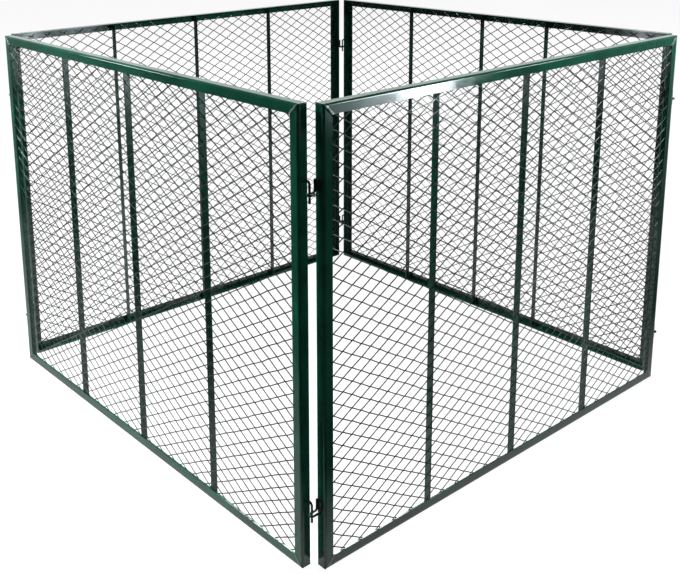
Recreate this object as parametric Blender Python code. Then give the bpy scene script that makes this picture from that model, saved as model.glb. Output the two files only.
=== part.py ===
"""Square compost bin of four welded steel mesh panels that hook together at the corners.

Each panel is a frame of mitred angle steel, three flat bars on edge and a sheet of expanded
metal held behind the frame's face. Two wire hooks on a panel's right-hand end drop into two
wire eyes on its neighbour's left-hand end, so every corner is a hinge.

A panel is drawn in its own space: X runs along it from its left-hand end as seen from outside,
Y runs into the bin from its outer face, and Z is up from the ground. Metres throughout.
"""

import math

import bmesh
import bpy
from mathutils import Matrix, Vector

# Panel outline
PANEL_WIDTH = 1.000
PANEL_HEIGHT = 0.780

# Rolled angle of the frame: both legs alike, rounded on the outer edge and in the root
LEG = 0.018
WALL = 0.002
OUTER_RADIUS = 0.002
ROOT_RADIUS = 0.001

# Space left between two pieces that touch
GAP = 0.0003

# Flat bars that stand on edge from the bottom rail to the top rail
BAR_COUNT = 3
BAR_DEPTH = 0.0135
BAR_THICKNESS = 0.0025
BAR_EDGE = 0.0005
RIGHT_FIRST_BAR_SHIFT = 0.050

# Expanded metal sheet, drawn with a wide mesh
SHEET_MARGIN = 0.006
SHEET_THICKNESS = 0.0015
STRAND_WIDTH = 0.0026
DIAMOND_COLUMNS = 6
DIAMOND_ROWS = 8

# Wire eye on the left-hand end: two legs down the end face, bent out into a loop
EYE_WIRE = 0.004
EYE_REACH = 0.017
EYE_LEG = 0.022
EYE_BEND = 0.004
EYE_OVERHANG = 0.0004
UPPER_EYE_DROP = 0.138
LOWER_EYE_HEIGHT = 0.103

# Wire hook on the right-hand end, and how it passes through the neighbour's eye
HOOK_WIRE = 0.004
HOOK_CLEARANCE = 0.0006
HOOK_REACH = 0.014
HOOK_RISE = 0.018
HOOK_SLOPE = math.radians(30.0)
HOOK_BEND = 0.0055
HOOK_FOOT = 0.0015
HOOK_DROP = 0.014

# Facets
ARC_STEP = math.radians(24.0)
PROFILE_STEP = math.radians(30.0)
WIRE_RESOLUTION = 2
SMOOTH_LIMIT = math.radians(35.0)

# Half the space between an eye's two legs, measured to their middle lines
EYE_HALF_WIDTH = HOOK_WIRE / 2 + HOOK_CLEARANCE + EYE_WIRE / 2

# Depth of the corner's pivot behind the outer face of the panel that carries the eye
EYE_DEPTH = LEG - EYE_OVERHANG - EYE_HALF_WIDTH

# Both panels of a corner reach the same pivot, so the square closes
HOOK_DEPTH = EYE_DEPTH + HOOK_REACH - EYE_REACH

# Middle of the bin to a panel's outer face
OUTER_FACE = PANEL_WIDTH / 2 + EYE_REACH + HOOK_DEPTH

SHEET_FACE = WALL + GAP
BAR_FACE = SHEET_FACE + SHEET_THICKNESS + GAP

PIVOT_AT_EYES = Vector((-EYE_REACH, EYE_DEPTH, 0.0))
PIVOT_AT_HOOKS = Vector((PANEL_WIDTH + HOOK_REACH, HOOK_DEPTH, 0.0))

EYE_HEIGHTS = {"upper": PANEL_HEIGHT - UPPER_EYE_DROP, "lower": LOWER_EYE_HEIGHT}

# Quarter turns of each panel about the middle of the bin, and the pivot that carries it
PANELS = (
    ("front", 0, PIVOT_AT_EYES),
    ("right", 1, PIVOT_AT_EYES),
    ("back", 2, PIVOT_AT_EYES),
    ("left", 3, PIVOT_AT_HOOKS),
)


def clear_scene():
    for item in list(bpy.data.objects):
        bpy.data.objects.remove(item, do_unlink=True)


def linear(channel):
    """One display colour channel, 0 to 255, as scene-linear light."""
    value = channel / 255.0
    if value <= 0.04045:
        return value / 12.92
    return ((value + 0.055) / 1.055) ** 2.4


def paint(name, display_colour, roughness):
    """Green paint over steel, from its colour as displayed."""
    material = bpy.data.materials.new(name)
    material.use_nodes = True
    shader = material.node_tree.nodes["Principled BSDF"]
    colour = [linear(channel) for channel in display_colour]
    shader.inputs["Base Color"].default_value = (*colour, 1.0)
    shader.inputs["Roughness"].default_value = roughness
    shader.inputs["Metallic"].default_value = 0.0
    shader.inputs["Coat Weight"].default_value = 0.5
    return material


def arc(centre, radius, start, turn, step):
    """Points of a circular arc in a plane, from the angle start through the angle turn."""
    count = max(1, math.ceil(abs(turn) / step - 1e-6))
    points = []
    for index in range(count + 1):
        angle = start + turn * index / count
        points.append((centre[0] + radius * math.cos(angle), centre[1] + radius * math.sin(angle)))
    return points


def angle_profile():
    """Cross-section of the angle as (across, depth), its outer corner at zero."""
    quarter = math.pi / 2
    root = WALL + ROOT_RADIUS
    outer = arc((OUTER_RADIUS, OUTER_RADIUS), OUTER_RADIUS, 3 * quarter, -quarter, PROFILE_STEP)
    inner = arc((root, root), ROOT_RADIUS, 2 * quarter, quarter, PROFILE_STEP)
    return outer + [(0.0, LEG), (WALL, LEG)] + inner + [(LEG, WALL), (LEG, 0.0)]


def mesh_from(bm, name, material, smooth=False):
    """Finishes a bmesh as a mesh whose faces point out."""
    bmesh.ops.recalc_face_normals(bm, faces=bm.faces)
    mesh = bpy.data.meshes.new(name)
    bm.to_mesh(mesh)
    bm.free()
    mesh.materials.append(material)
    if smooth:
        mesh.shade_smooth()
        mesh.set_sharp_from_angle(angle=SMOOTH_LIMIT)
    return mesh


def angle_member(name, length, material):
    """A length of angle along X with both ends mitred, its outer edge at Z zero."""
    mitre_gap = GAP / math.sqrt(2.0)
    bm = bmesh.new()
    near = [bm.verts.new((0.0, depth, across)) for across, depth in angle_profile()]
    section = bm.faces.new(near)
    swept = bmesh.ops.extrude_face_region(bm, geom=[section])
    far = [item for item in swept["geom"] if isinstance(item, bmesh.types.BMVert)]
    bmesh.ops.translate(bm, vec=(length, 0.0, 0.0), verts=far)
    for vert in near:
        vert.co.x += vert.co.z + mitre_gap
    for vert in far:
        vert.co.x -= vert.co.z + mitre_gap
    return mesh_from(bm, name, material, smooth=True)


def flat_bar(name, material):
    """A flat bar on edge from rail to rail, its foot at zero and its outer edge at Y zero."""
    length = PANEL_HEIGHT - 2 * (WALL + GAP)
    bm = bmesh.new()
    bmesh.ops.create_cube(bm, size=1.0)
    bmesh.ops.scale(bm, vec=(BAR_THICKNESS, BAR_DEPTH, length), verts=bm.verts)
    bmesh.ops.translate(bm, vec=(0.0, BAR_DEPTH / 2, length / 2), verts=bm.verts)
    upright = [edge for edge in bm.edges if edge.verts[0].co.xy == edge.verts[1].co.xy]
    bmesh.ops.bevel(
        bm, geom=upright, offset=BAR_EDGE, segments=1, profile=0.5, affect="EDGES", material=-1
    )
    return mesh_from(bm, name, material)


def diamond_cells(bm, width, height):
    """Flat cells of the expanded metal: whole diamonds, cut in half along the sheet's edges."""
    half_column = width / (2 * DIAMOND_COLUMNS)
    half_row = height / (2 * DIAMOND_ROWS)
    last_column = 2 * DIAMOND_COLUMNS
    last_row = 2 * DIAMOND_ROWS
    knots = {}
    for column in range(last_column + 1):
        for row in range(column % 2, last_row + 1, 2):
            knots[column, row] = bm.verts.new((column * half_column, 0.0, row * half_row))
    for column in range(last_column + 1):
        for row in range((column + 1) % 2, last_row + 1, 2):
            around = ((column - 1, row), (column, row - 1), (column + 1, row), (column, row + 1))
            bm.faces.new([knots[place] for place in around if place in knots])


def expanded_sheet(name, material):
    """Expanded metal with its lower left-hand outer corner at zero."""
    width = PANEL_WIDTH - 2 * SHEET_MARGIN
    height = PANEL_HEIGHT - 2 * SHEET_MARGIN
    bm = bmesh.new()
    diamond_cells(bm, width, height)
    bm.normal_update()
    rim = {edge for edge in bm.edges if edge.is_boundary}
    rim_ends = [{tuple(vert.co) for vert in edge.verts} for edge in rim]
    openings = list(bm.faces)
    bmesh.ops.inset_individual(bm, faces=openings, thickness=STRAND_WIDTH / 2, use_even_offset=True)
    bmesh.ops.delete(bm, geom=openings, context="FACES_ONLY")
    spare = [
        face
        for face in bm.faces
        if any({tuple(vert.co) for vert in edge.verts} in rim_ends for edge in face.edges)
    ]
    bmesh.ops.delete(bm, geom=spare, context="FACES")
    strands = bmesh.ops.extrude_face_region(bm, geom=list(bm.faces))
    back = [item for item in strands["geom"] if isinstance(item, bmesh.types.BMVert)]
    bmesh.ops.translate(bm, vec=(0.0, SHEET_THICKNESS, 0.0), verts=back)
    return mesh_from(bm, name, material)


def rounded_route(corners, radii):
    """Points of a route through corners, each rounded by its radius where its sides allow."""
    points = [corners[0]]
    for index, radius in enumerate(radii, start=1):
        corner = corners[index]
        back = corners[index - 1] - corner
        ahead = corners[index + 1] - corner
        opening = back.angle(ahead)
        trim = min(radius / math.tan(opening / 2), back.length, ahead.length)
        bend_radius = trim * math.tan(opening / 2)
        to_centre = back.normalized() + ahead.normalized()
        centre = corner + to_centre.normalized() * bend_radius / math.sin(opening / 2)
        start = corner + back.normalized() * trim - centre
        end = corner + ahead.normalized() * trim - centre
        turn = math.pi - opening
        count = max(2, math.ceil(turn / ARC_STEP - 1e-6))
        for step in range(count + 1):
            share = step / count
            before = math.sin((1.0 - share) * turn) / math.sin(turn)
            after = math.sin(share * turn) / math.sin(turn)
            points.append(centre + start * before + end * after)
    points.append(corners[-1])
    return points


def wire(name, route, diameter, material):
    """Round wire along a route, closed at both ends."""
    curve = bpy.data.curves.new(name, "CURVE")
    curve.dimensions = "3D"
    curve.bevel_depth = diameter / 2
    curve.bevel_resolution = WIRE_RESOLUTION
    curve.use_fill_caps = True
    spline = curve.splines.new("POLY")
    spline.points.add(len(route) - 1)
    for point, place in zip(spline.points, route):
        point.co = (*place, 1.0)
    spline.use_smooth = True
    curve.materials.append(material)
    return curve


def eye_wire(name, material):
    """An eye, with the middle of its loop at the pivot and the end face it is welded to at +X."""
    leg = EYE_REACH - GAP - EYE_WIRE / 2
    side = EYE_HALF_WIDTH
    corners = [
        Vector((leg, -side, EYE_LEG)),
        Vector((leg, -side, 0.0)),
        Vector((-side, -side, 0.0)),
        Vector((-side, side, 0.0)),
        Vector((leg, side, 0.0)),
        Vector((leg, side, EYE_LEG)),
    ]
    route = rounded_route(corners, (EYE_BEND, side, side, EYE_BEND))
    return wire(name, route, EYE_WIRE, material)


def hook_wire(name, material):
    """A hook whose shank hangs on the pivot, with the end face it is welded to at -X."""
    foot = GAP - HOOK_REACH
    knee = foot + HOOK_FOOT
    peak = HOOK_RISE - knee * math.tan(HOOK_SLOPE)
    corners = [
        Vector((foot, 0.0, HOOK_RISE)),
        Vector((knee, 0.0, HOOK_RISE)),
        Vector((0.0, 0.0, peak)),
        Vector((0.0, 0.0, -HOOK_DROP)),
    ]
    route = rounded_route(corners, (HOOK_WIRE / 2, HOOK_BEND))
    return wire(name, route, HOOK_WIRE, material)


def bar_places(panel):
    """Places along the panel of its bars, which share the clear width evenly."""
    spacing = (PANEL_WIDTH - 2 * LEG) / (BAR_COUNT + 1)
    places = [LEG + spacing * (index + 1) for index in range(BAR_COUNT)]
    if panel == "right":
        places[0] += RIGHT_FIRST_BAR_SHIFT
    return places


def make_shapes():
    """The shapes that every panel shares."""
    frame_paint = paint("frame_paint", (17, 66, 50), 0.22)
    bar_paint = paint("bar_paint", (16, 58, 45), 0.26)
    sheet_paint = paint("sheet_paint", (20, 44, 36), 0.35)
    wire_paint = paint("wire_paint", (14, 40, 32), 0.30)
    return {
        "rail": angle_member("rail", PANEL_WIDTH, frame_paint),
        "stile": angle_member("stile", PANEL_HEIGHT, frame_paint),
        "bar": flat_bar("bar", bar_paint),
        "sheet": expanded_sheet("sheet", sheet_paint),
        "eye": eye_wire("eye", wire_paint),
        "hook": hook_wire("hook", wire_paint),
    }


def panel_pieces(panel, shapes):
    """Name, shape, place and turn about Y of each piece of a panel, in the panel's own space."""
    quarter = math.pi / 2
    pieces = [
        ("bottom_rail", shapes["rail"], Vector((0.0, 0.0, 0.0)), 0.0),
        ("top_rail", shapes["rail"], Vector((PANEL_WIDTH, 0.0, PANEL_HEIGHT)), 2 * quarter),
        ("left_stile", shapes["stile"], Vector((0.0, 0.0, PANEL_HEIGHT)), quarter),
        ("right_stile", shapes["stile"], Vector((PANEL_WIDTH, 0.0, 0.0)), -quarter),
        ("mesh_sheet", shapes["sheet"], Vector((SHEET_MARGIN, SHEET_FACE, SHEET_MARGIN)), 0.0),
    ]
    for number, place in enumerate(bar_places(panel), start=1):
        foot = Vector((place, BAR_FACE, WALL + GAP))
        pieces.append((f"bar_{number}", shapes["bar"], foot, 0.0))
    for level, height in EYE_HEIGHTS.items():
        rise = Vector((0.0, 0.0, height))
        pieces.append((f"{level}_eye", shapes["eye"], PIVOT_AT_EYES + rise, 0.0))
        pieces.append((f"{level}_hook", shapes["hook"], PIVOT_AT_HOOKS + rise, 0.0))
    return pieces


def add_panel(panel, quarter_turns, pivot, shapes):
    """Adds one panel under an empty that stands on the pivot carrying it."""
    scene = bpy.context.scene.collection
    turn = Matrix.Rotation(quarter_turns * math.pi / 2, 4, "Z")
    corner = Vector((-PANEL_WIDTH / 2, -OUTER_FACE, 0.0))
    carrier = bpy.data.objects.new(f"{panel}_panel", None)
    carrier.location = turn @ (corner + pivot)
    carrier.rotation_euler = turn.to_euler()
    scene.objects.link(carrier)
    for name, shape, place, tilt in panel_pieces(panel, shapes):
        piece = bpy.data.objects.new(f"{panel}_{name}", shape)
        piece.parent = carrier
        piece.location = place - pivot
        piece.rotation_euler = (0.0, tilt, 0.0)
        scene.objects.link(piece)


def main():
    clear_scene()
    shapes = make_shapes()
    for panel, quarter_turns, pivot in PANELS:
        add_panel(panel, quarter_turns, pivot, shapes)
    bpy.context.view_layer.update()


if __name__ == "__main__":
    main()
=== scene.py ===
"""Painted finish, expanded metal, wire hardware and welds of a square steel compost bin.

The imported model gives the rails, stiles and bars of four alike panels. This script paints them,
puts the full expanded metal behind the frames, bends the hooks and eyes from round wire, lays
the weld beads, and sets up the floor, the lamps and the camera.

A panel is built as the front one, which faces -Y, and turned about the middle of the bin.
"""

import math

import bmesh
import bpy
from mathutils import Matrix, Vector
from mathutils.noise import noise_vector, seed_set


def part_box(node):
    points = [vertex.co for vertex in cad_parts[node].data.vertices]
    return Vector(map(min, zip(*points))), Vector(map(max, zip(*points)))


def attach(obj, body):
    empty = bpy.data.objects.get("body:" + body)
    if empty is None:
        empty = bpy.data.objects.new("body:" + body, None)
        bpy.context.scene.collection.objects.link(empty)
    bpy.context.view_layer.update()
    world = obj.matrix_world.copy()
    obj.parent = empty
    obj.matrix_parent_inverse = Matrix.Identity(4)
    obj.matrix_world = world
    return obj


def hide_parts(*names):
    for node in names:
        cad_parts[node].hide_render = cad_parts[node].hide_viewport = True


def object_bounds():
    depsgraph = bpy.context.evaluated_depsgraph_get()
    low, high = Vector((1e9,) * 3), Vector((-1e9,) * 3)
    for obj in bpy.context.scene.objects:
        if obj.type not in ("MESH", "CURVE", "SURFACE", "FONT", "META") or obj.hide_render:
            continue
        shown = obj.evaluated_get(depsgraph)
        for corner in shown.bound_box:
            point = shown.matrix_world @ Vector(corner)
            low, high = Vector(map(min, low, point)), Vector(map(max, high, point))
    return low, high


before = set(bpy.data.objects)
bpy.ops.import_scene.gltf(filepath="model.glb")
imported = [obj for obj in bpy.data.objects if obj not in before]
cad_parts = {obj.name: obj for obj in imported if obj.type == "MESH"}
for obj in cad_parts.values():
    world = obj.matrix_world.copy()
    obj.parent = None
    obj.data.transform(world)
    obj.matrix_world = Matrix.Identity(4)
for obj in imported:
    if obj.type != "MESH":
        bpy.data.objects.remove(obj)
CAD_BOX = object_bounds()

bl_info = {
    "name": "Compost Bin",
    "version": (1, 0, 0),
    "blender": (4, 5, 0),
    "location": "View3D > Sidebar > Compost Bin",
    "description": "Builds the finish, mesh and hardware of a steel mesh compost bin",
    "category": "Object",
}

PANELS = ("front", "right", "back", "left")
LEVELS = ("upper", "lower")
RAILS = ("top_rail", "bottom_rail", "left_stile", "right_stile")
BARS = ("bar_1", "bar_2", "bar_3")

# Half of a panel's width.
PANEL_REACH = 0.5

# Seed of the noise that makes the mesh and the welds uneven, the same in each run.
NOISE_SEED = 7

# Paint. A noise is its scale and its detail, and a band is the part of a measure that counts.
PAINT_IOR = 1.5
COVER_NOISE = (14.0, 4.0)
COVER_BAND = (0.35, 0.65)
COVER_SHARES = (0.78, 1.22)
DUST_NOISE = (420.0, 2.0)
DUST_BAND = (0.66, 0.80)
DUST_COLOUR = (0.22, 0.27, 0.24, 1.0)
PATCH_NOISE = (38.0, 3.0)
PATCH_BAND = (0.3, 0.7)
PATCH_DULLNESS = 0.08
PEEL_NOISE = (900.0, 2.0)
PEEL_HEIGHT = 0.0002
SEAM_BAND = (0.0008, 0.0045)
RIPPLE_NOISE = (520.0, 3.0)
RIPPLE_HEIGHT = 0.0016

# Expanded metal. Each panel's pattern is shifted from its middle, in diamonds along and up.
MESH_START = {
    "front": (-0.126, 0.33),
    "right": (0.0, 0.0),
    "back": (0.0, 0.0),
    "left": (0.175, 0.0),
}
# Diamonds made beyond the sheet before it is trimmed, the scale of the knuckles' unevenness, and
# the width of the strip that goes from each trimmed side, in half strands.
SPARE_DIAMONDS = 2
KNUCKLE_NOISE = 60.0
RIM_SLACK = 1.01

# Wire. The end's taper and the knee's bend are in the wire's radii.
BEND_STEP = math.radians(15.0)
END_TAPER = 0.2
KNEE_BEND = 1.4
WIRE_CREASE = math.radians(40.0)

# Drops of weld metal: the step between two in a bead, how far their sizes and places vary, in
# radii, the scale of the noise that varies them, and how thick the flattened ones are.
DROP_STEP = 1.15
DROP_SPREAD = 0.22
DROP_WANDER = 0.12
DROP_NOISE = 900.0
BEAD_FLAT = 0.75
DROP_FLAT = 0.8
TACK_FLAT = 0.7

# Beads, in shares of the full bead's radius: how deep one lies in the steel, how far one stands
# off a corner and a bar's side, and how large the smaller ones and a corner's drop are.
SUNK = 0.15
MITRE_INSET = 0.25
BAR_OUTSET = 0.2
FACE_BEAD = 0.6
BAR_BEAD = 0.85
EYE_BEAD = 0.7
CORNER_DROP = 0.8
WELD_CREASE = math.radians(50.0)
# How far a face's bead runs along its mitre, and how deep the corner's drop lies in the wall.
FACE_RUN = 0.9
CORNER_DEPTH = 0.75
# Beads of an eye's leg, in the wire's diameters: in from its sides, up from the underside of the
# eye, and down from its end.
LEG_SIDE = 0.02
LEG_FOOT = 1.6
LEG_HEAD = 0.4
# Drops round a hook's root: their ring's radius in the wire's diameters, how far they stand out,
# and how their sizes vary.
ROOT_DROPS = 10
ROOT_RING = 0.56
ROOT_OUT = 0.1
ROOT_SPREAD = 0.15
ROOT_NOISE = 7.0
# Tacks, in their radius: how large one on a bar is, and how far one lies behind the frame's face.
BAR_TACK = 1.15
TACK_BACK = 0.35
# Strands tried past each end of a line, where the pattern's shift may bring one in.
SPARE_STRANDS = 4

# How much of the steel the seam metal fills: out to the corner, through the face, and through
# the edge. It stays a hair under the paint.
SEAM_REACH = 0.99
SEAM_DEPTH = 0.97
SEAM_EDGE = 0.98

# Studio that the paint mirrors, as stops of place and brightness: round from the open side at -1
# to the backdrop at 1, and up from the horizon at 0 to overhead at 1.
BACKDROP_WAY = (math.sqrt(0.5), math.sqrt(0.5), 0.0)
BACKDROP_LEVELS = (
    (-1.0, 0.02),
    (-0.14, 0.02),
    (0.07, 0.06),
    (0.17, 0.14),
    (0.33, 0.26),
    (0.50, 1.0),
    (1.0, 1.0),
)
WALL_LEVELS = ((0.0, 1.0), (0.26, 1.0), (0.40, 0.35), (0.60, 0.12), (1.0, 0.12))
WHITE = (1.0, 1.0, 1.0, 1.0)
ROOM_COLOUR = (0.95, 0.97, 1.0, 1.0)
ROOM_STRENGTH = 0.03

# Floor: what lights the bin from below, and what the camera sees, with its share of glow.
FLOOR_RADIUS = 14.0
FLOOR_SIDES = 64
FLOOR_COLOUR = (0.26, 0.26, 0.26, 1.0)
SHADED_COLOUR = (0.20, 0.20, 0.20, 1.0)
FLOOR_GLOW = 0.94
# Painted pool of light on it, a glow lit by no lamp that the lower steel mirrors: where its left
# and near sides fade in, and how bright it is outside and inside.
PAINTED_POOL_LEFT = (-1.10, -0.62)
PAINTED_POOL_NEAR = (-0.72, -0.53)
PAINTED_POOL_LEVELS = (0.02, 0.85)

# Name, place, aim, size and beam of each lamp.
LAMPS = (
    ("key_lamp", (-1.40, 1.3, 2.0), (-1.20, 0.18, 0.36), (0.5, 0.5), 72.0),
    ("side_lamp", (0.72, -0.92, 1.16), (-0.163, -0.497, 0.956), (0.2, 0.2), 137.0),
    ("top_lamp", (0.3, 0.4, 4.5), (0.0, 0.0, 0.4), (1.6, 1.6), 180.0),
    ("back_lamp", (2.4, 2.6, 3.8), (0.0, 0.0, 0.4), (1.6, 1.6), 180.0),
)
LAMP_COLOUR = (1.0, 1.0, 1.0)
# Lamps that the gloss doesn't see.
UNMIRRORED_LAMPS = ("key_lamp", "side_lamp")
# The same of each card that only the gloss sees, and its share of the card power.
CARDS = (
    ("front_card", (0.68, -1.386, 0.745), (-0.28, -0.53, 0.785), (0.15, 0.55), 50.0, 0.080),
    ("half_front_card", (0.535, -1.386, 0.745), (-0.36, -0.53, 0.785), (0.15, 0.55), 50.0, 0.0125),
    ("dim_front_card", (0.38, -1.386, 0.745), (-0.45, -0.53, 0.785), (0.13, 0.55), 50.0, 0.0050),
    ("near_card", (1.19, -3.00, 0.75), (-0.53, 0.20, 0.75), (0.10, 1.5), 180.0, 0.9),
    ("far_card", (-3.00, 1.57, 0.75), (0.20, -0.52, 0.75), (0.10, 1.5), 180.0, 0.7),
    ("near_net_card", (0.60, -1.386, 0.81), (-0.40, -0.53, 0.55), (0.36, 0.48), 60.0, 0.11),
    ("right_net_card", (1.24, -1.386, 0.86), (0.47, -0.53, 0.65), (0.22, 0.20), 60.0, 0.052),
    ("left_net_card", (-1.386, 1.36, 0.84), (-0.53, 0.47, 0.65), (0.28, 0.22), 60.0, 0.072),
)
CARD_COLOUR = (0.86, 0.93, 1.0)

# Camera.
PICTURE_WIDTH = 680
SENSOR_WIDTH = 36.0
NEAR_CLIP = 0.02


# Properties


class BinPaint(bpy.types.PropertyGroup):
    """Colours and gloss of the painted steel."""

    frame_colour: bpy.props.FloatVectorProperty(
        name="Frame colour",
        description="Paint on the rails and stiles",
        subtype="COLOR",
        size=3,
        min=0.0,
        max=1.0,
        default=(0.0060, 0.0750, 0.0450),
    )
    bar_colour: bpy.props.FloatVectorProperty(
        name="Bar colour",
        description="Paint on the flat bars",
        subtype="COLOR",
        size=3,
        min=0.0,
        max=1.0,
        default=(0.0060, 0.0600, 0.0400),
    )
    mesh_colour: bpy.props.FloatVectorProperty(
        name="Mesh colour",
        description="Paint on the expanded metal",
        subtype="COLOR",
        size=3,
        min=0.0,
        max=1.0,
        default=(0.0060, 0.0140, 0.0120),
    )
    wire_colour: bpy.props.FloatVectorProperty(
        name="Wire colour",
        description="Paint on the hooks and eyes",
        subtype="COLOR",
        size=3,
        min=0.0,
        max=1.0,
        default=(0.0040, 0.0340, 0.0220),
    )
    gloss: bpy.props.FloatProperty(
        name="Gloss",
        description="Roughness of the smoothest paint, lower is glossier",
        default=0.06,
        min=0.0,
        max=1.0,
        subtype="FACTOR",
    )


class BinMesh(bpy.types.PropertyGroup):
    """Sizes of the expanded metal."""

    diamond_width: bpy.props.FloatProperty(
        name="Diamond width",
        description="Pitch of the diamonds along the panel",
        default=0.0412,
        min=0.01,
        unit="LENGTH",
    )
    diamond_height: bpy.props.FloatProperty(
        name="Diamond height",
        description="Pitch of the diamonds up the panel",
        default=0.0236,
        min=0.005,
        unit="LENGTH",
    )
    strand_width: bpy.props.FloatProperty(
        name="Strand width",
        description="Width of a strand in the plane of the sheet",
        default=0.00145,
        min=0.0005,
        unit="LENGTH",
    )
    strand_thickness: bpy.props.FloatProperty(
        name="Strand thickness",
        description="Thickness of the slit sheet",
        default=0.0005,
        min=0.0002,
        unit="LENGTH",
    )
    knuckle: bpy.props.FloatProperty(
        name="Knuckle",
        description="How far the sharp corners of an opening are filled where four strands meet",
        default=0.0009,
        min=0.0,
        unit="LENGTH",
    )
    unevenness: bpy.props.FloatProperty(
        name="Unevenness",
        description="How far the knuckles stray from an even pattern",
        default=0.0012,
        min=0.0,
        unit="LENGTH",
    )
    lean: bpy.props.FloatProperty(
        name="Lean",
        description="How far the top of an opening leans out and its foot leans in",
        default=0.0004,
        min=0.0,
        unit="LENGTH",
    )


class BinWire(bpy.types.PropertyGroup):
    """Sizes of the hooks and eyes."""

    wire: bpy.props.FloatProperty(
        name="Wire",
        description="Diameter of the wire",
        default=0.004,
        min=0.001,
        unit="LENGTH",
    )
    sides: bpy.props.IntProperty(
        name="Sides",
        description="Facets round the wire",
        default=16,
        min=6,
    )
    eye_bend: bpy.props.FloatProperty(
        name="Eye bend",
        description="Radius at which an eye's legs turn out, on the wire's middle line",
        default=0.004,
        min=0.001,
        unit="LENGTH",
    )
    hook_bend: bpy.props.FloatProperty(
        name="Hook bend",
        description="Radius at which a hook turns down, on the wire's middle line",
        default=0.0055,
        min=0.001,
        unit="LENGTH",
    )
    hook_slope: bpy.props.FloatProperty(
        name="Hook slope",
        description="Rise of a hook's arm away from the stile",
        default=math.radians(30.0),
        min=0.0,
        max=math.radians(60.0),
        subtype="ANGLE",
    )
    hook_foot: bpy.props.FloatProperty(
        name="Hook foot",
        description="Level run of a hook before its arm rises",
        default=0.0015,
        min=0.0005,
        unit="LENGTH",
    )
    foot_rise: bpy.props.FloatProperty(
        name="Foot rise",
        description="Height of a hook's root over the tip of its shank",
        default=0.0320,
        min=0.0,
        unit="LENGTH",
    )


class BinWelds(bpy.types.PropertyGroup):
    """Sizes of the weld metal."""

    bead: bpy.props.FloatProperty(
        name="Bead",
        description="Radius of a bead where two pieces meet",
        default=0.0016,
        min=0.0004,
        unit="LENGTH",
    )
    seam: bpy.props.FloatProperty(
        name="Seam",
        description="Width of the filled seam in a mitre",
        default=0.0006,
        min=0.0003,
        unit="LENGTH",
    )
    leg: bpy.props.FloatProperty(
        name="Leg",
        description="Width of the angle's two flanges",
        default=0.018,
        min=0.005,
        unit="LENGTH",
    )
    wall: bpy.props.FloatProperty(
        name="Wall",
        description="Thickness of the angle's flanges",
        default=0.002,
        min=0.0005,
        unit="LENGTH",
    )
    arris: bpy.props.FloatProperty(
        name="Arris",
        description="Radius to which the paint rounds the angle's outer edge",
        default=0.0040,
        min=0.0005,
        unit="LENGTH",
    )
    tack: bpy.props.FloatProperty(
        name="Tack",
        description="Radius of a tack between the expanded metal and the steel behind it",
        default=0.0013,
        min=0.0004,
        unit="LENGTH",
    )


class BinStage(bpy.types.PropertyGroup):
    """Camera, lamps and floor."""

    camera_place: bpy.props.FloatVectorProperty(
        name="Camera place",
        description="Where the camera stands",
        default=(-1.4365, -1.5624, 1.0782),
        subtype="TRANSLATION",
        unit="LENGTH",
    )
    camera_turn: bpy.props.FloatVectorProperty(
        name="Camera turn",
        description="Rotation of the camera",
        default=(math.radians(76.957), math.radians(0.754), math.radians(-39.889)),
        subtype="EULER",
    )
    lens: bpy.props.FloatProperty(
        name="Lens",
        description="Focal length on a sensor 36 mm wide, in millimetres",
        default=51.79,
        min=10.0,
    )
    shift_right: bpy.props.FloatProperty(
        name="Shift right",
        description="How far the picture's middle lies right of the lens axis, in pixels",
        default=56.6,
    )
    shift_down: bpy.props.FloatProperty(
        name="Shift down",
        description="How far the picture's middle lies below the lens axis, in pixels",
        default=165.7,
    )
    key_power: bpy.props.FloatProperty(
        name="Key power",
        description="Power of the lamp above the left panel",
        default=28.0,
        min=0.0,
        subtype="POWER",
    )
    side_power: bpy.props.FloatProperty(
        name="Side power",
        description="Power of the small lamp at the right-hand end of the front panel",
        default=8.0,
        min=0.0,
        subtype="POWER",
    )
    top_power: bpy.props.FloatProperty(
        name="Top power",
        description="Power of the lamp overhead",
        default=40.0,
        min=0.0,
        subtype="POWER",
    )
    back_power: bpy.props.FloatProperty(
        name="Back power",
        description="Power of the lamp behind the bin",
        default=140.0,
        min=0.0,
        subtype="POWER",
    )
    card_power: bpy.props.FloatProperty(
        name="Card power",
        description="Power of the soft cards that the paint mirrors",
        default=10.0,
        min=0.0,
        subtype="POWER",
    )


# Materials


def add_node(tree, kind, place, inputs=None, **values):
    """A node with its settings, and its inputs given as sockets to link or as plain values."""
    node = tree.nodes.new(kind)
    node.location = place
    for name, value in values.items():
        setattr(node, name, value)
    for name, value in (inputs or {}).items():
        if isinstance(value, bpy.types.NodeSocket):
            tree.links.new(value, node.inputs[name])
        else:
            node.inputs[name].default_value = value
    return node


def noise(tree, place, kind, vector):
    scale, detail = kind
    inputs = {"Vector": vector, "Scale": scale, "Detail": detail}
    return add_node(tree, "ShaderNodeTexNoise", place, inputs).outputs["Fac"]


def spread(tree, place, value, low, high, to_low, to_high):
    """Maps a value from one range to another, clamped."""
    inputs = {
        "Value": value,
        "From Min": low,
        "From Max": high,
        "To Min": to_low,
        "To Max": to_high,
    }
    return add_node(tree, "ShaderNodeMapRange", place, inputs).outputs["Result"]


def combine(tree, place, operation, first, second):
    """Joins two values, either of which may be a plain number."""
    inputs = {0: first, 1: second}
    return add_node(tree, "ShaderNodeMath", place, inputs, operation=operation).outputs["Value"]


def vector_math(tree, place, operation, first, second=(0.0, 0.0, 0.0)):
    inputs = {0: first, 1: second}
    return add_node(tree, "ShaderNodeVectorMath", place, inputs, operation=operation).outputs


def mix_colours(tree, place, share, first, second, mode="MIX"):
    """Joins two colours, each a socket or a plain colour, with a share of the second."""
    inputs = {"Factor": share, "A": first, "B": second}
    kind = {"data_type": "RGBA", "blend_type": mode}
    return add_node(tree, "ShaderNodeMix", place, inputs, **kind).outputs["Result"]


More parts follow.
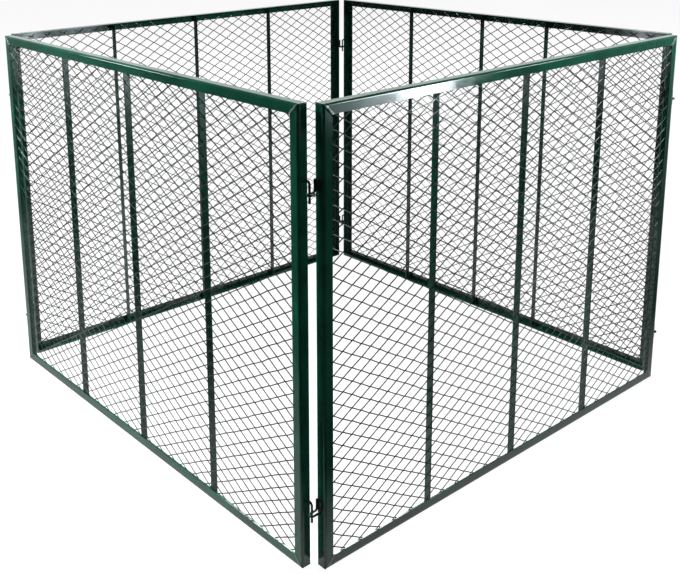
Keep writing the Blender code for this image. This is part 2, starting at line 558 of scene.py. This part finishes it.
def bump(tree, place, height, strength, distance):
    inputs = {"Height": height, "Strength": strength, "Distance": distance}
    return add_node(tree, "ShaderNodeBump", place, inputs)


def add_shader(tree, kind, place, inputs):
    return add_node(tree, kind, place, inputs).outputs[0]


def mix_shaders(tree, place, share, first, second):
    """Goes from the first shader to the second with a share."""
    return add_shader(tree, "ShaderNodeMixShader", place, {"Fac": share, 1: first, 2: second})


def panel_edges(tree, x, y, vector):
    """Distances to the mitre seams and to the outer arrises of the panel that a point is on."""
    low, high = CAD_BOX
    reach = (high - low) / 2
    centred = vector_math(tree, (x, y), "SUBTRACT", vector, (low + high) / 2)["Vector"]
    size = vector_math(tree, (x + 180, y), "ABSOLUTE", centred)["Vector"]
    parts = add_node(tree, "ShaderNodeSeparateXYZ", (x + 360, y), {"Vector": size}).outputs
    along = combine(tree, (x + 540, y), "MINIMUM", parts["X"], parts["Y"])
    out = combine(tree, (x + 540, y - 180), "MAXIMUM", parts["X"], parts["Y"])
    from_end = combine(tree, (x + 720, y), "SUBTRACT", PANEL_REACH, along)
    from_top = combine(tree, (x + 720, y - 180), "SUBTRACT", reach.z, parts["Z"])
    behind = combine(tree, (x + 720, y - 360), "SUBTRACT", reach.x, out)
    apart = combine(tree, (x + 900, y), "SUBTRACT", from_end, from_top)
    seam = combine(tree, (x + 1080, y), "ABSOLUTE", apart, 0.0)
    edge = combine(tree, (x + 900, y - 180), "MINIMUM", from_end, from_top)
    arris = combine(tree, (x + 1080, y - 180), "ADD", edge, behind)
    return seam, arris


def shape_angle(material, radius):
    """Rounds the outer arrises of rolled angle and roughens the weld metal in its mitres."""
    tree = material.node_tree
    shader = tree.nodes["Principled BSDF"]
    place = add_node(tree, "ShaderNodeTexCoord", (-2600, -800)).outputs["Object"]
    seam, arris = panel_edges(tree, -2400, -800, place)
    near = spread(tree, (-1100, -800), seam, *SEAM_BAND, 1.0, 0.0)
    ripple = noise(tree, (-1100, -1060), RIPPLE_NOISE, place)
    rough = combine(tree, (-900, -800), "MULTIPLY", near, ripple)
    weld = combine(tree, (-720, -800), "MULTIPLY", rough, RIPPLE_HEIGHT)
    inside = combine(tree, (-1100, -1300), "SUBTRACT", radius, arris)
    turned = combine(tree, (-900, -1300), "MAXIMUM", inside, 0.0)
    square = combine(tree, (-720, -1300), "MULTIPLY", turned, turned)
    fall = combine(tree, (-540, -1300), "MULTIPLY", square, -0.5 / radius)
    height = combine(tree, (-360, -900), "ADD", weld, fall)
    shaped = bump(tree, (-180, -600), height, 1.0, 1.0)
    under = shader.inputs["Normal"].links[0].from_socket
    tree.links.new(under, shaped.inputs["Normal"])
    tree.links.new(shaped.outputs["Normal"], shader.inputs["Normal"])


def painted_steel(name, colour, gloss, peel, dust):
    """Glossy paint with uneven cover, orange peel and a little pale dust."""
    material = bpy.data.materials.new(name)
    material.use_nodes = True
    tree = material.node_tree
    shader = tree.nodes["Principled BSDF"]
    shader.inputs["IOR"].default_value = PAINT_IOR
    place = add_node(tree, "ShaderNodeTexCoord", (-1300, 0)).outputs["Object"]
    cover = noise(tree, (-1100, 300), COVER_NOISE, place)
    speck = noise(tree, (-1100, 80), DUST_NOISE, place)
    patch = noise(tree, (-1100, -140), PATCH_NOISE, place)
    skin = noise(tree, (-1100, -360), PEEL_NOISE, place)
    thick = spread(tree, (-880, 300), cover, *COVER_BAND, 0.0, 1.0)
    thin, full = [(*[channel * share for channel in colour], 1.0) for share in COVER_SHARES]
    covered = mix_colours(tree, (-640, 300), thick, thin, full)
    dusty = spread(tree, (-880, 80), speck, *DUST_BAND, 0.0, dust)
    coloured = mix_colours(tree, (-420, 240), dusty, covered, DUST_COLOUR)
    tree.links.new(coloured, shader.inputs["Base Color"])
    rough = spread(tree, (-880, -140), patch, *PATCH_BAND, gloss, gloss + PATCH_DULLNESS)
    tree.links.new(rough, shader.inputs["Roughness"])
    peeled = bump(tree, (-420, -300), skin, peel, PEEL_HEIGHT)
    tree.links.new(peeled.outputs["Normal"], shader.inputs["Normal"])
    return material


def backdrop_share(tree, place):
    """One where a ray comes from the camera, a reflection or clear glass, and the glossy part."""
    x, y = place
    rays = add_node(tree, "ShaderNodeLightPath", place).outputs
    glossy = rays["Is Glossy Ray"]
    either = combine(tree, (x + 180, y), "MAXIMUM", rays["Is Camera Ray"], glossy)
    share = combine(tree, (x + 360, y), "MAXIMUM", either, rays["Is Transmission Ray"])
    return share, glossy


def studio_level(tree, place, value, stops):
    """Brightness of the studio along a measure, for reflections, from (position, level) stops."""
    first, last = stops[0][0], stops[-1][0]
    along = spread(tree, place, value, first, last, 0.0, 1.0)
    ramp = add_node(tree, "ShaderNodeValToRGB", (place[0] + 200, place[1]), {"Fac": along})
    marks = ramp.color_ramp.elements
    while len(marks) < len(stops):
        marks.new(0.5)
    for mark, (position, level) in zip(marks, stops):
        mark.position = (position - first) / (last - first)
        mark.color = (level, level, level, 1.0)
    return ramp.outputs["Color"]


def backdrop_side(tree, place, vector):
    """Bright towards the white backdrop behind the bin, dim on the open side of the studio."""
    x, y = place
    level = vector_math(tree, (x, y), "MULTIPLY", vector, (1.0, 1.0, 0.0))["Vector"]
    unit = vector_math(tree, (x + 180, y), "NORMALIZE", level)["Vector"]
    turn = vector_math(tree, (x + 360, y), "DOT_PRODUCT", unit, BACKDROP_WAY)["Value"]
    return studio_level(tree, (x + 540, y), turn, BACKDROP_LEVELS)


def floor_material():
    """Pale matt floor that looks white, keeps the bin's shadow and shows reflections a painted
    glow.
    """
    material = bpy.data.materials.new("pale_floor")
    material.use_nodes = True
    tree = material.node_tree
    tree.nodes.clear()
    place = add_node(tree, "ShaderNodeTexCoord", (-1500, -200)).outputs["Object"]
    parts = add_node(tree, "ShaderNodeSeparateXYZ", (-1100, -100), {"Vector": place}).outputs
    # A painted pool of light by the bin, a glow that only reflections see.
    left = spread(tree, (-900, 0), parts["X"], *PAINTED_POOL_LEFT, *PAINTED_POOL_LEVELS)
    near = spread(tree, (-900, -260), parts["Y"], *PAINTED_POOL_NEAR, *PAINTED_POOL_LEVELS)
    painted_pool = combine(tree, (-700, -100), "MINIMUM", left, near)
    side = backdrop_side(tree, (-1300, -560), place)
    lit = mix_colours(tree, (-200, -200), 1.0, painted_pool, side, "LIGHTEN")
    plain = add_shader(tree, "ShaderNodeBsdfDiffuse", (0, 300), {"Color": FLOOR_COLOUR})
    shaded = add_shader(tree, "ShaderNodeBsdfDiffuse", (0, 120), {"Color": SHADED_COLOUR})
    glow = add_shader(tree, "ShaderNodeEmission", (0, -20), {"Strength": FLOOR_GLOW})
    pale = add_shader(tree, "ShaderNodeAddShader", (220, 60), {0: shaded, 1: glow})
    # Painted reflection: for glossy rays the floor glows with the painted pool and the backdrop's
    # side.
    mirrored = add_shader(tree, "ShaderNodeEmission", (0, -180), {"Color": lit})
    share, glossy = backdrop_share(tree, (-500, 500))
    seen = mix_shaders(tree, (440, 0), glossy, pale, mirrored)
    mixed = mix_shaders(tree, (660, 160), share, plain, seen)
    add_node(tree, "ShaderNodeOutputMaterial", (880, 160), {"Surface": mixed})
    return material


# Shared tools


def settings():
    return bpy.context.scene.compost_bin


def quarter_turn(panel):
    """Turn about the middle of the bin from the front panel to this one."""
    return Matrix.Rotation(PANELS.index(panel) * math.pi / 2, 4, "Z")


def add_piece(bm, name, panel, material):
    """Ends a bmesh as a finished piece that rides on its panel."""
    bmesh.ops.recalc_face_normals(bm, faces=bm.faces)
    mesh = bpy.data.meshes.new(name)
    bm.to_mesh(mesh)
    bm.free()
    mesh.materials.append(material)
    piece = bpy.data.objects.new(name, mesh)
    bpy.context.scene.collection.objects.link(piece)
    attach(piece, f"{panel}_panel")
    return piece


def smooth(piece, angle):
    """Smooth shading, with edges over an angle left sharp."""
    piece.data.shade_smooth()
    piece.data.set_sharp_from_angle(angle=angle)


# Frames and bars


def dress(nodes, material):
    """Gives CAD nodes a finish."""
    for node in nodes:
        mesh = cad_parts[node].data
        mesh.materials.clear()
        mesh.materials.append(material)


class COMPOSTBIN_OT_frames(bpy.types.Operator):
    """Paints the rails, the stiles and the bars"""

    bl_idname = "compost_bin.frames"
    bl_label = "Frames and bars"
    bl_options = {"REGISTER", "UNDO"}

    def execute(self, context):
        paint = settings().paint
        frames = painted_steel(
            "angle_paint", paint.frame_colour, paint.gloss, peel=0.06, dust=0.12
        )
        shape_angle(frames, settings().welds.arris)
        bars = painted_steel(
            "flat_bar_paint", paint.bar_colour, paint.gloss + 0.08, peel=0.08, dust=0.12
        )
        dress([f"{panel}_{rail}" for panel in PANELS for rail in RAILS], frames)
        dress([f"{panel}_{bar}" for panel in PANELS for bar in BARS], bars)
        return {"FINISHED"}


# Expanded metal


def diamond_grid(width, height, sizes, start):
    """Flat sheet of filled diamonds, a little uneven, trimmed to a width and a height."""
    across = sizes.diamond_width
    up = sizes.diamond_height
    cells = 2 * (math.ceil(max(width / across, height / up)) + SPARE_DIAMONDS)
    bm = bmesh.new()
    upright = Matrix.Rotation(math.pi / 2, 4, "X") @ Matrix.Rotation(math.pi / 4, 4, "Z")
    bmesh.ops.create_grid(
        bm, x_segments=cells, y_segments=cells, size=cells / math.sqrt(2.0), matrix=upright
    )
    bmesh.ops.scale(bm, vec=(across / 2, 1.0, up / 2), verts=bm.verts)
    bmesh.ops.translate(bm, vec=(start[0] * across, 0.0, start[1] * up), verts=bm.verts)
    for vert in bm.verts:
        wander = noise_vector(vert.co * KNUCKLE_NOISE + Vector((*start, 0.0)))
        vert.co += Vector((wander.x, 0.0, wander.z)) * sizes.unevenness
    for normal, reach in (((1, 0, 0), width / 2), ((0, 0, 1), height / 2)):
        for side in (-1, 1):
            outward = Vector(normal) * side
            whole = list(bm.verts) + list(bm.edges) + list(bm.faces)
            bmesh.ops.bisect_plane(
                bm, geom=whole, plane_co=outward * reach, plane_no=outward, clear_outer=True
            )
    bm.normal_update()
    return bm


def open_diamonds(bm, sizes):
    """Cuts the diamonds open, fills their sharp corners and leans each opening."""
    openings = list(bm.faces)
    bmesh.ops.inset_individual(
        bm, faces=openings, thickness=sizes.strand_width / 2, use_even_offset=True
    )
    for opening in openings:
        middle = opening.calc_center_bounds()
        for vert in opening.verts:
            away = vert.co - middle
            if abs(away.x) > sizes.diamond_width / 4:
                vert.co.x -= math.copysign(sizes.knuckle, away.x)
            vert.co.y -= sizes.lean * away.z / (sizes.diamond_height / 2)
    bmesh.ops.delete(bm, geom=openings, context="FACES_ONLY")


def drop_rim(bm, width, height, edge):
    """Deletes the half strands along the trimmed sides."""
    rim = [
        face
        for face in bm.faces
        if all(
            abs(vert.co.x) > width / 2 - edge or abs(vert.co.z) > height / 2 - edge
            for vert in face.verts
        )
    ]
    bmesh.ops.delete(bm, geom=rim, context="FACES")


def expanded_metal(low, high, sizes, start):
    """Diamond mesh that fills a box from low to high; start is its shift in diamonds."""
    width = high.x - low.x
    height = high.z - low.z
    bm = diamond_grid(width, height, sizes, start)
    open_diamonds(bm, sizes)
    drop_rim(bm, width, height, sizes.strand_width / 2 * RIM_SLACK)
    bm.normal_update()
    bmesh.ops.solidify(bm, geom=list(bm.faces), thickness=sizes.strand_thickness)
    depths = [vert.co.y for vert in bm.verts]
    middle = (low + high) / 2 - Vector((0.0, (min(depths) + max(depths)) / 2, 0.0))
    bmesh.ops.translate(bm, vec=middle, verts=bm.verts)
    return bm


class COMPOSTBIN_OT_mesh_sheets(bpy.types.Operator):
    """Replaces each panel's sheet with its full expanded metal"""

    bl_idname = "compost_bin.mesh_sheets"
    bl_label = "Expanded metal"
    bl_options = {"REGISTER", "UNDO"}

    def execute(self, context):
        sizes = settings()
        paint = sizes.paint
        material = painted_steel(
            "mesh_paint", paint.mesh_colour, paint.gloss + 0.06, peel=0.10, dust=0.10
        )
        low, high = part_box("front_mesh_sheet")
        seed_set(NOISE_SEED)
        for panel in PANELS:
            bm = expanded_metal(low, high, sizes.mesh, MESH_START[panel])
            bmesh.ops.transform(bm, matrix=quarter_turn(panel), verts=bm.verts)
            piece = add_piece(bm, f"{panel}_expanded_metal", panel, material)
            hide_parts(f"{panel}_mesh_sheet")
        return {"FINISHED"}


# Hooks and eyes


def ring_edges(made):
    return [item for item in made if isinstance(item, bmesh.types.BMEdge)]


def wire_start(bm, place, facing, sizes):
    """Open ring of wire at a place, square to a direction."""
    turn = facing.to_track_quat("Z", "Y").to_matrix().to_4x4()
    made = bmesh.ops.create_circle(
        bm, radius=sizes.wire / 2, segments=sizes.sides, matrix=Matrix.Translation(place) @ turn
    )
    return list(dict.fromkeys(edge for vert in made["verts"] for edge in vert.link_edges))


def wire_run(bm, ring, shift):
    """Draws the wire straight on."""
    made = bmesh.ops.extrude_edge_only(bm, edges=ring)["geom"]
    moved = {item for item in made if isinstance(item, bmesh.types.BMVert)}
    bmesh.ops.translate(bm, vec=shift, verts=list(moved))
    return [edge for edge in ring_edges(made) if moved.issuperset(edge.verts)]


def wire_bend(bm, ring, centre, axis, angle):
    """Bends the wire on round a centre."""
    steps = max(3, math.ceil(abs(angle) / BEND_STEP))
    made = bmesh.ops.spin(
        bm, geom=ring, cent=centre, axis=axis, dvec=(0, 0, 0), angle=angle, steps=steps
    )
    return ring_edges(made["geom_last"])


def wire_end(bm, ring, forward, radius):
    """Closes the wire with a slightly rounded end."""
    last = wire_run(bm, ring, forward * radius * END_TAPER)
    verts = list(dict.fromkeys(vert for edge in last for vert in edge.verts))
    middle = sum((vert.co for vert in verts), Vector()) / len(verts)
    narrow = (1.0 - END_TAPER,) * 3
    bmesh.ops.scale(bm, vec=narrow, space=Matrix.Translation(-middle), verts=verts)
    bmesh.ops.holes_fill(bm, edges=last)


def bend_eye(bm, low, high, sizes):
    """An eye in the box of its solid: down one leg, out, round the loop, back and up the other."""
    radius = sizes.wire / 2
    bend = sizes.eye_bend
    near = low.y + radius
    half = (high.y - low.y) / 2 - radius
    leg = high.x - radius
    plane = low.z + radius
    top = high.z - radius * END_TAPER
    pivot = Vector((low.x + radius + half, near + half, plane))
    down = Vector((0, 0, -1))
    ring = wire_start(bm, Vector((leg, near, top)), down, sizes)
    first = list(ring)
    ring = wire_run(bm, ring, down * (top - plane - bend))
    ring = wire_bend(bm, ring, Vector((leg - bend, near, plane + bend)), (0, 1, 0), math.pi / 2)
    ring = wire_run(bm, ring, Vector((pivot.x - leg + bend, 0, 0)))
    ring = wire_bend(bm, ring, pivot, (0, 0, 1), -math.pi)
    ring = wire_run(bm, ring, Vector((leg - bend - pivot.x, 0, 0)))
    centre = Vector((leg - bend, near + 2 * half, plane + bend))
    ring = wire_bend(bm, ring, centre, (0, 1, 0), -math.pi / 2)
    ring = wire_run(bm, ring, -down * (top - plane - bend))
    wire_end(bm, ring, -down, radius)
    wire_end(bm, first, -down, radius)


def bend_hook(bm, low, high, sizes):
    """A hook in the box of its solid: out of the stile, up its arm, over and down."""
    radius = sizes.wire / 2
    slope = sizes.hook_slope
    knee_bend = radius * KNEE_BEND
    out = Vector((1, 0, 0))
    down = Vector((0, 0, -1))
    rise = Vector((math.cos(slope), 0, math.sin(slope)))
    level = low.y + radius
    top_bend = Vector((high.x - radius - sizes.hook_bend, level, 0.0))
    top_bend.z = high.z - radius - sizes.hook_bend
    touch = top_bend + Vector((-rise.z, 0, rise.x)) * sizes.hook_bend
    knee_run = knee_bend * math.tan(slope / 2)
    knee = Vector((low.x + sizes.hook_foot, level, 0.0))
    knee.z = touch.z - (touch.x - knee.x) * math.tan(slope)
    ring = wire_start(bm, Vector((low.x, level, knee.z)), out, sizes)
    first = list(ring)
    ring = wire_run(bm, ring, out * (sizes.hook_foot - knee_run))
    centre = Vector((knee.x - knee_run, level, knee.z + knee_bend))
    ring = wire_bend(bm, ring, centre, (0, 1, 0), -slope)
    start = knee + rise * knee_run
    ring = wire_run(bm, ring, touch - start)
    ring = wire_bend(bm, ring, top_bend, (0, 1, 0), math.pi / 2 + slope)
    ring = wire_run(bm, ring, Vector((0, 0, low.z + radius * END_TAPER - top_bend.z)))
    wire_end(bm, ring, down, radius)
    bmesh.ops.holes_fill(bm, edges=first)


class COMPOSTBIN_OT_hooks_and_eyes(bpy.types.Operator):
    """Bends each panel's two hooks and two eyes from round wire"""

    bl_idname = "compost_bin.hooks_and_eyes"
    bl_label = "Hooks and eyes"
    bl_options = {"REGISTER", "UNDO"}

    def execute(self, context):
        sizes = settings()
        paint = sizes.paint
        material = painted_steel(
            "wire_paint", paint.wire_colour, paint.gloss, peel=0.14, dust=0.10
        )
        for panel in PANELS:
            for level in LEVELS:
                for kind, bend in (("eye", bend_eye), ("hook", bend_hook)):
                    low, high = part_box(f"front_{level}_{kind}")
                    bm = bmesh.new()
                    bend(bm, low, high, sizes.wire)
                    bmesh.ops.transform(bm, matrix=quarter_turn(panel), verts=bm.verts)
                    name = f"{panel}_{level}_{kind}_wire"
                    piece = add_piece(bm, name, panel, material)
                    smooth(piece, WIRE_CREASE)
                    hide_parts(f"{panel}_{level}_{kind}")
        return {"FINISHED"}


# Welds


def add_blob(bm, place, radius, facing, flat):
    """A drop of weld metal, flattened along a direction."""
    turn = Vector(facing).to_track_quat("Z", "Y").to_matrix().to_4x4()
    shape = Matrix.Translation(place) @ turn @ Matrix.Diagonal((1.0, 1.0, flat, 1.0))
    bmesh.ops.create_icosphere(bm, subdivisions=1, radius=radius, matrix=shape)


def lay_bead(bm, start, end, radius):
    """Overlapping drops from start to end, each a little off the line."""
    run = end - start
    count = max(2, round(run.length / (radius * DROP_STEP)) + 1)
    for step in range(count):
        place = start + run * (step / (count - 1))
        wander = noise_vector(place * DROP_NOISE)
        size = radius * (1.0 + DROP_SPREAD * wander.x)
        add_blob(bm, place + wander * radius * DROP_WANDER, size, run, BEAD_FLAT)


def frame_corners(low, high, wall):
    """Inner corners of the frame's depth flanges, with the way into the panel."""
    for side, x in ((1, low.x + wall), (-1, high.x - wall)):
        for rise, z in ((1, low.z + wall), (-1, high.z - wall)):
            yield Vector((x, 0.0, z)), Vector((side, 0.0, rise))


def mitre_beads(bm, frame_low, frame_high, sizes):
    """Inside each corner, a bead along each flange's joint and a drop where the faces end."""
    wall = sizes.wall
    bead = sizes.bead
    face = frame_low.y
    for corner, into in frame_corners(frame_low, frame_high, wall):
        inset = into * bead * MITRE_INSET
        near = corner + inset + Vector((0, face + wall + bead, 0))
        far = corner + inset + Vector((0, face + sizes.leg - bead, 0))
        lay_bead(bm, near, far, bead)
        across = into * (sizes.leg - wall)
        inner = corner + across + Vector((0, face + wall * CORNER_DEPTH, 0))
        add_blob(bm, inner, bead * CORNER_DROP, into, DROP_FLAT)
        back = Vector((0, face + wall + bead * SUNK, 0))
        lay_bead(bm, corner + back, corner + across * FACE_RUN + back, bead * FACE_BEAD)


def seam_fills(bm, frame_low, frame_high, sizes):
    """Weld metal that closes the mitre seams, ground flush with the faces and edges."""
    wall = sizes.wall
    half_end = sizes.seam / (2.0 * math.sqrt(2.0))
    for corner, into in frame_corners(frame_low, frame_high, wall):
        turn = Matrix.Rotation(-math.atan2(into.z, into.x), 4, "Y")
        outer = corner - into * (wall * SEAM_REACH - half_end)
        inner = corner + into * (sizes.leg - wall)
        middle = (outer + inner) / 2 + Vector((0, frame_low.y + wall / 2, 0))
        shape = Matrix.Diagonal(((inner - outer).length, wall * SEAM_DEPTH, sizes.seam, 1.0))
        bmesh.ops.create_cube(bm, size=1.0, matrix=Matrix.Translation(middle) @ turn @ shape)
        edge = corner - into * wall / 2 + Vector((0, frame_low.y + sizes.leg / 2, 0))
        width = (wall * SEAM_EDGE - half_end * 2.0) * math.sqrt(2.0)
        shape = Matrix.Diagonal((width, sizes.leg * SEAM_EDGE, sizes.seam, 1.0))
        bmesh.ops.create_cube(bm, size=1.0, matrix=Matrix.Translation(edge) @ turn @ shape)


def turned_bars(panel):
    """The boxes of a panel's bars, turned back to the front panel's place."""
    back = quarter_turn(panel).inverted()
    boxes = []
    for bar in BARS:
        corners = [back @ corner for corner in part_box(f"{panel}_{bar}")]
        low = Vector([min(corner[axis] for corner in corners) for axis in range(3)])
        high = Vector([max(corner[axis] for corner in corners) for axis in range(3)])
        boxes.append((low, high))
    return boxes


def bar_beads(bm, boxes, sizes):
    """Beads down both sides of a bar's two ends."""
    bead = sizes.bead
    for low, high in boxes:
        for side, out in ((low.x, -1), (high.x, 1)):
            x = side + out * bead * BAR_OUTSET
            for z in (low.z + bead * SUNK, high.z - bead * SUNK):
                start = Vector((x, low.y + bead, z))
                lay_bead(bm, start, Vector((x, high.y - bead, z)), bead * BAR_BEAD)


def eye_beads(bm, eye, wire, bead):
    """Beads down both sides of an eye's two legs, clear of its bends and ends."""
    low, high = eye
    x = high.x - bead * SUNK
    for leg in (low.y, high.y - wire):
        for y in (leg + wire * LEG_SIDE, leg + wire * (1.0 - LEG_SIDE)):
            start = Vector((x, y, low.z + wire * LEG_FOOT))
            lay_bead(bm, start, Vector((x, y, high.z - wire * LEG_HEAD)), bead * EYE_BEAD)


def hook_drops(bm, hook, wire, foot_rise, bead):
    """Drops round the root of a hook."""
    low, _ = hook
    root = Vector((low.x, low.y + wire / 2, low.z + foot_rise))
    for step in range(ROOT_DROPS):
        angle = step * math.tau / ROOT_DROPS
        ring = Vector((ROOT_OUT, math.cos(angle), math.sin(angle)))
        wander = noise_vector((root + ring) * ROOT_NOISE)
        size = bead * (1.0 - ROOT_SPREAD + ROOT_SPREAD * wander.x)
        add_blob(bm, root + ring * wire * ROOT_RING, size, (1, 0, 0), DROP_FLAT)


def strand_levels(at, pitch_at, pitch, start_at, start, reach):
    """Places along a line at which strands cross it; at is the line's place across."""
    share = 2.0 * (at / pitch_at - start_at)
    for way in (1, -1):
        count = math.ceil(2.0 * reach / pitch) + SPARE_STRANDS
        for step in range(-count, count + 1):
            place = pitch * (start + step + way * share / 2.0)
            if -reach < place < reach:
                yield place


def mesh_tacks(bm, sheet, frame_low, bars, mesh, start, sizes):
    """Tacks where strands meet the frame's edges and the bars."""
    low, high = sheet
    middle = (low + high) / 2
    across, up = mesh.diamond_width, mesh.diamond_height
    back = frame_low.y + sizes.wall + sizes.tack * TACK_BACK
    reach_x = -frame_low.x - sizes.leg
    reach_z = middle.z - sizes.leg
    places = []
    for side in (-1, 1):
        end, edge = side * reach_x, side * reach_z
        for z in strand_levels(end, across, up, start[0], start[1], reach_z):
            places.append((end, back, middle.z + z, 1.0))
        for x in strand_levels(edge, up, across, start[1], start[0], reach_x):
            places.append((x, back, middle.z + edge, 1.0))
    for bar_low, bar_high in bars:
        x = (bar_low.x + bar_high.x) / 2
        for z in strand_levels(x, across, up, start[0], start[1], reach_z):
            places.append((x, bar_low.y, middle.z + z, BAR_TACK))
    for *place, share in places:
        add_blob(bm, Vector(place), sizes.tack * share, (0, 1, 0), TACK_FLAT)


class COMPOSTBIN_OT_welds(bpy.types.Operator):
    """Lays the weld metal of each panel"""

    bl_idname = "compost_bin.welds"
    bl_label = "Welds"
    bl_options = {"REGISTER", "UNDO"}

    def execute(self, context):
        sizes = settings()
        paint = sizes.paint
        welds = sizes.welds
        wire = sizes.wire
        material = painted_steel(
            "weld_paint", paint.frame_colour, paint.gloss + 0.04, peel=0.30, dust=0.20
        )
        rails = [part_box(f"front_{rail}") for rail in RAILS]
        frame_low = Vector([min(low[axis] for low, high in rails) for axis in range(3)])
        frame_high = Vector([max(high[axis] for low, high in rails) for axis in range(3)])
        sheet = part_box("front_mesh_sheet")
        seed_set(NOISE_SEED)
        for panel in PANELS:
            bm = bmesh.new()
            mitre_beads(bm, frame_low, frame_high, welds)
            seam_fills(bm, frame_low, frame_high, welds)
            bars = turned_bars(panel)
            bar_beads(bm, bars, welds)
            for level in LEVELS:
                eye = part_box(f"front_{level}_eye")
                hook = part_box(f"front_{level}_hook")
                eye_beads(bm, eye, wire.wire, welds.bead)
                hook_drops(bm, hook, wire.wire, wire.foot_rise, welds.bead)
            mesh_tacks(bm, sheet, frame_low, bars, sizes.mesh, MESH_START[panel], welds)
            bmesh.ops.transform(bm, matrix=quarter_turn(panel), verts=bm.verts)
            piece = add_piece(bm, f"{panel}_welds", panel, material)
            smooth(piece, WELD_CREASE)
        return {"FINISHED"}


# Stage


def add_lamp(name, place, aim, size, beam, power, colour):
    """A rectangular soft lamp that faces a point, with its beam's full angle in degrees."""
    lamp = bpy.data.lights.new(name, "AREA")
    lamp.spread = math.radians(beam)
    lamp.shape = "RECTANGLE"
    lamp.size, lamp.size_y = size
    lamp.energy = power
    lamp.color = colour
    stand = bpy.data.objects.new(name, lamp)
    stand.location = place
    stand.rotation_euler = (Vector(place) - Vector(aim)).to_track_quat("Z", "Y").to_euler()
    stand.visible_camera = False
    bpy.context.scene.collection.objects.link(stand)
    return stand


def set_world(scene):
    """White backdrop, which the gloss sees as a studio lit low down, over a dim room's light."""
    world = bpy.data.worlds.new("studio")
    scene.world = world
    world.use_nodes = True
    tree = world.node_tree
    tree.nodes.clear()
    direction = add_node(tree, "ShaderNodeTexCoord", (-1500, -200)).outputs["Generated"]
    parts = add_node(tree, "ShaderNodeSeparateXYZ", (-900, -100), {"Vector": direction}).outputs
    height = combine(tree, (-720, -100), "ABSOLUTE", parts["Z"], 0.0)
    wall = studio_level(tree, (-540, -100), height, WALL_LEVELS)
    side = backdrop_side(tree, (-1300, -400), direction)
    lit = mix_colours(tree, (-200, -200), 1.0, wall, side, "MULTIPLY")
    dim = {"Color": ROOM_COLOUR, "Strength": ROOM_STRENGTH}
    room = add_shader(tree, "ShaderNodeBackground", (0, 120), dim)
    white = add_shader(tree, "ShaderNodeBackground", (0, -20), {"Color": WHITE})
    mirrored = add_shader(tree, "ShaderNodeBackground", (0, -160), {"Color": lit})
    share, glossy = backdrop_share(tree, (-500, 400))
    seen = mix_shaders(tree, (220, -80), glossy, white, mirrored)
    mixed = mix_shaders(tree, (440, 0), share, room, seen)
    add_node(tree, "ShaderNodeOutputWorld", (660, 0), {"Surface": mixed})


def add_floor(scene):
    bm = bmesh.new()
    bmesh.ops.create_circle(bm, cap_ends=True, radius=FLOOR_RADIUS, segments=FLOOR_SIDES)
    mesh = bpy.data.meshes.new("floor")
    bm.to_mesh(mesh)
    bm.free()
    mesh.materials.append(floor_material())
    floor = bpy.data.objects.new("floor", mesh)
    scene.collection.objects.link(floor)


def add_camera(scene, stage):
    camera = bpy.data.cameras.new("camera")
    camera.lens = stage.lens
    camera.sensor_width = SENSOR_WIDTH
    camera.shift_x = stage.shift_right / PICTURE_WIDTH
    camera.shift_y = -stage.shift_down / PICTURE_WIDTH
    camera.clip_start = NEAR_CLIP
    stand = bpy.data.objects.new("camera", camera)
    stand.location = stage.camera_place
    stand.rotation_euler = stage.camera_turn
    scene.collection.objects.link(stand)
    scene.camera = stand


class COMPOSTBIN_OT_stage(bpy.types.Operator):
    """Sets the floor, the lamps and the camera"""

    bl_idname = "compost_bin.stage"
    bl_label = "Floor, lamps and camera"
    bl_options = {"REGISTER", "UNDO"}

    def execute(self, context):
        scene = context.scene
        stage = settings().stage
        scene.view_settings.view_transform = "Standard"
        set_world(scene)
        add_floor(scene)
        powers = (stage.key_power, stage.side_power, stage.top_power, stage.back_power)
        for (name, place, aim, size, beam), power in zip(LAMPS, powers):
            lamp = add_lamp(name, place, aim, size, beam, power, LAMP_COLOUR)
            lamp.visible_glossy = name not in UNMIRRORED_LAMPS
        for name, place, aim, size, beam, share in CARDS:
            power = stage.card_power * share
            card = add_lamp(name, place, aim, size, beam, power, CARD_COLOUR)
            card.visible_diffuse = False
        add_camera(scene, stage)
        return {"FINISHED"}


# Panel, registration and main


class CompostBinSettings(bpy.types.PropertyGroup):
    """Everything that a user of the bin may change."""

    paint: bpy.props.PointerProperty(type=BinPaint)
    mesh: bpy.props.PointerProperty(type=BinMesh)
    wire: bpy.props.PointerProperty(type=BinWire)
    welds: bpy.props.PointerProperty(type=BinWelds)
    stage: bpy.props.PointerProperty(type=BinStage)


STEPS = (
    COMPOSTBIN_OT_stage,
    COMPOSTBIN_OT_frames,
    COMPOSTBIN_OT_mesh_sheets,
    COMPOSTBIN_OT_hooks_and_eyes,
    COMPOSTBIN_OT_welds,
)


class COMPOSTBIN_PT_sidebar(bpy.types.Panel):
    """Lists the bin's sizes, colours and building steps"""

    bl_label = "Compost Bin"
    bl_space_type = "VIEW_3D"
    bl_region_type = "UI"
    bl_category = "Compost Bin"

    def draw(self, context):
        sizes = settings()
        for group in (sizes.paint, sizes.mesh, sizes.wire, sizes.welds, sizes.stage):
            box = self.layout.box()
            for name in group.bl_rna.properties.keys():
                if name not in ("rna_type", "name"):
                    box.prop(group, name)
        for step in STEPS:
            self.layout.operator(step.bl_idname)


CLASSES = (
    BinPaint,
    BinMesh,
    BinWire,
    BinWelds,
    BinStage,
    CompostBinSettings,
    *STEPS,
    COMPOSTBIN_PT_sidebar,
)


def register():
    for kind in CLASSES:
        bpy.utils.register_class(kind)
    bpy.types.Scene.compost_bin = bpy.props.PointerProperty(type=CompostBinSettings)


def unregister():
    del bpy.types.Scene.compost_bin
    for kind in reversed(CLASSES):
        bpy.utils.unregister_class(kind)


def main():
    register()
    bpy.ops.compost_bin.stage()
    bpy.ops.compost_bin.frames()
    bpy.ops.compost_bin.mesh_sheets()
    bpy.ops.compost_bin.hooks_and_eyes()
    bpy.ops.compost_bin.welds()


if __name__ == "__main__":
    main()
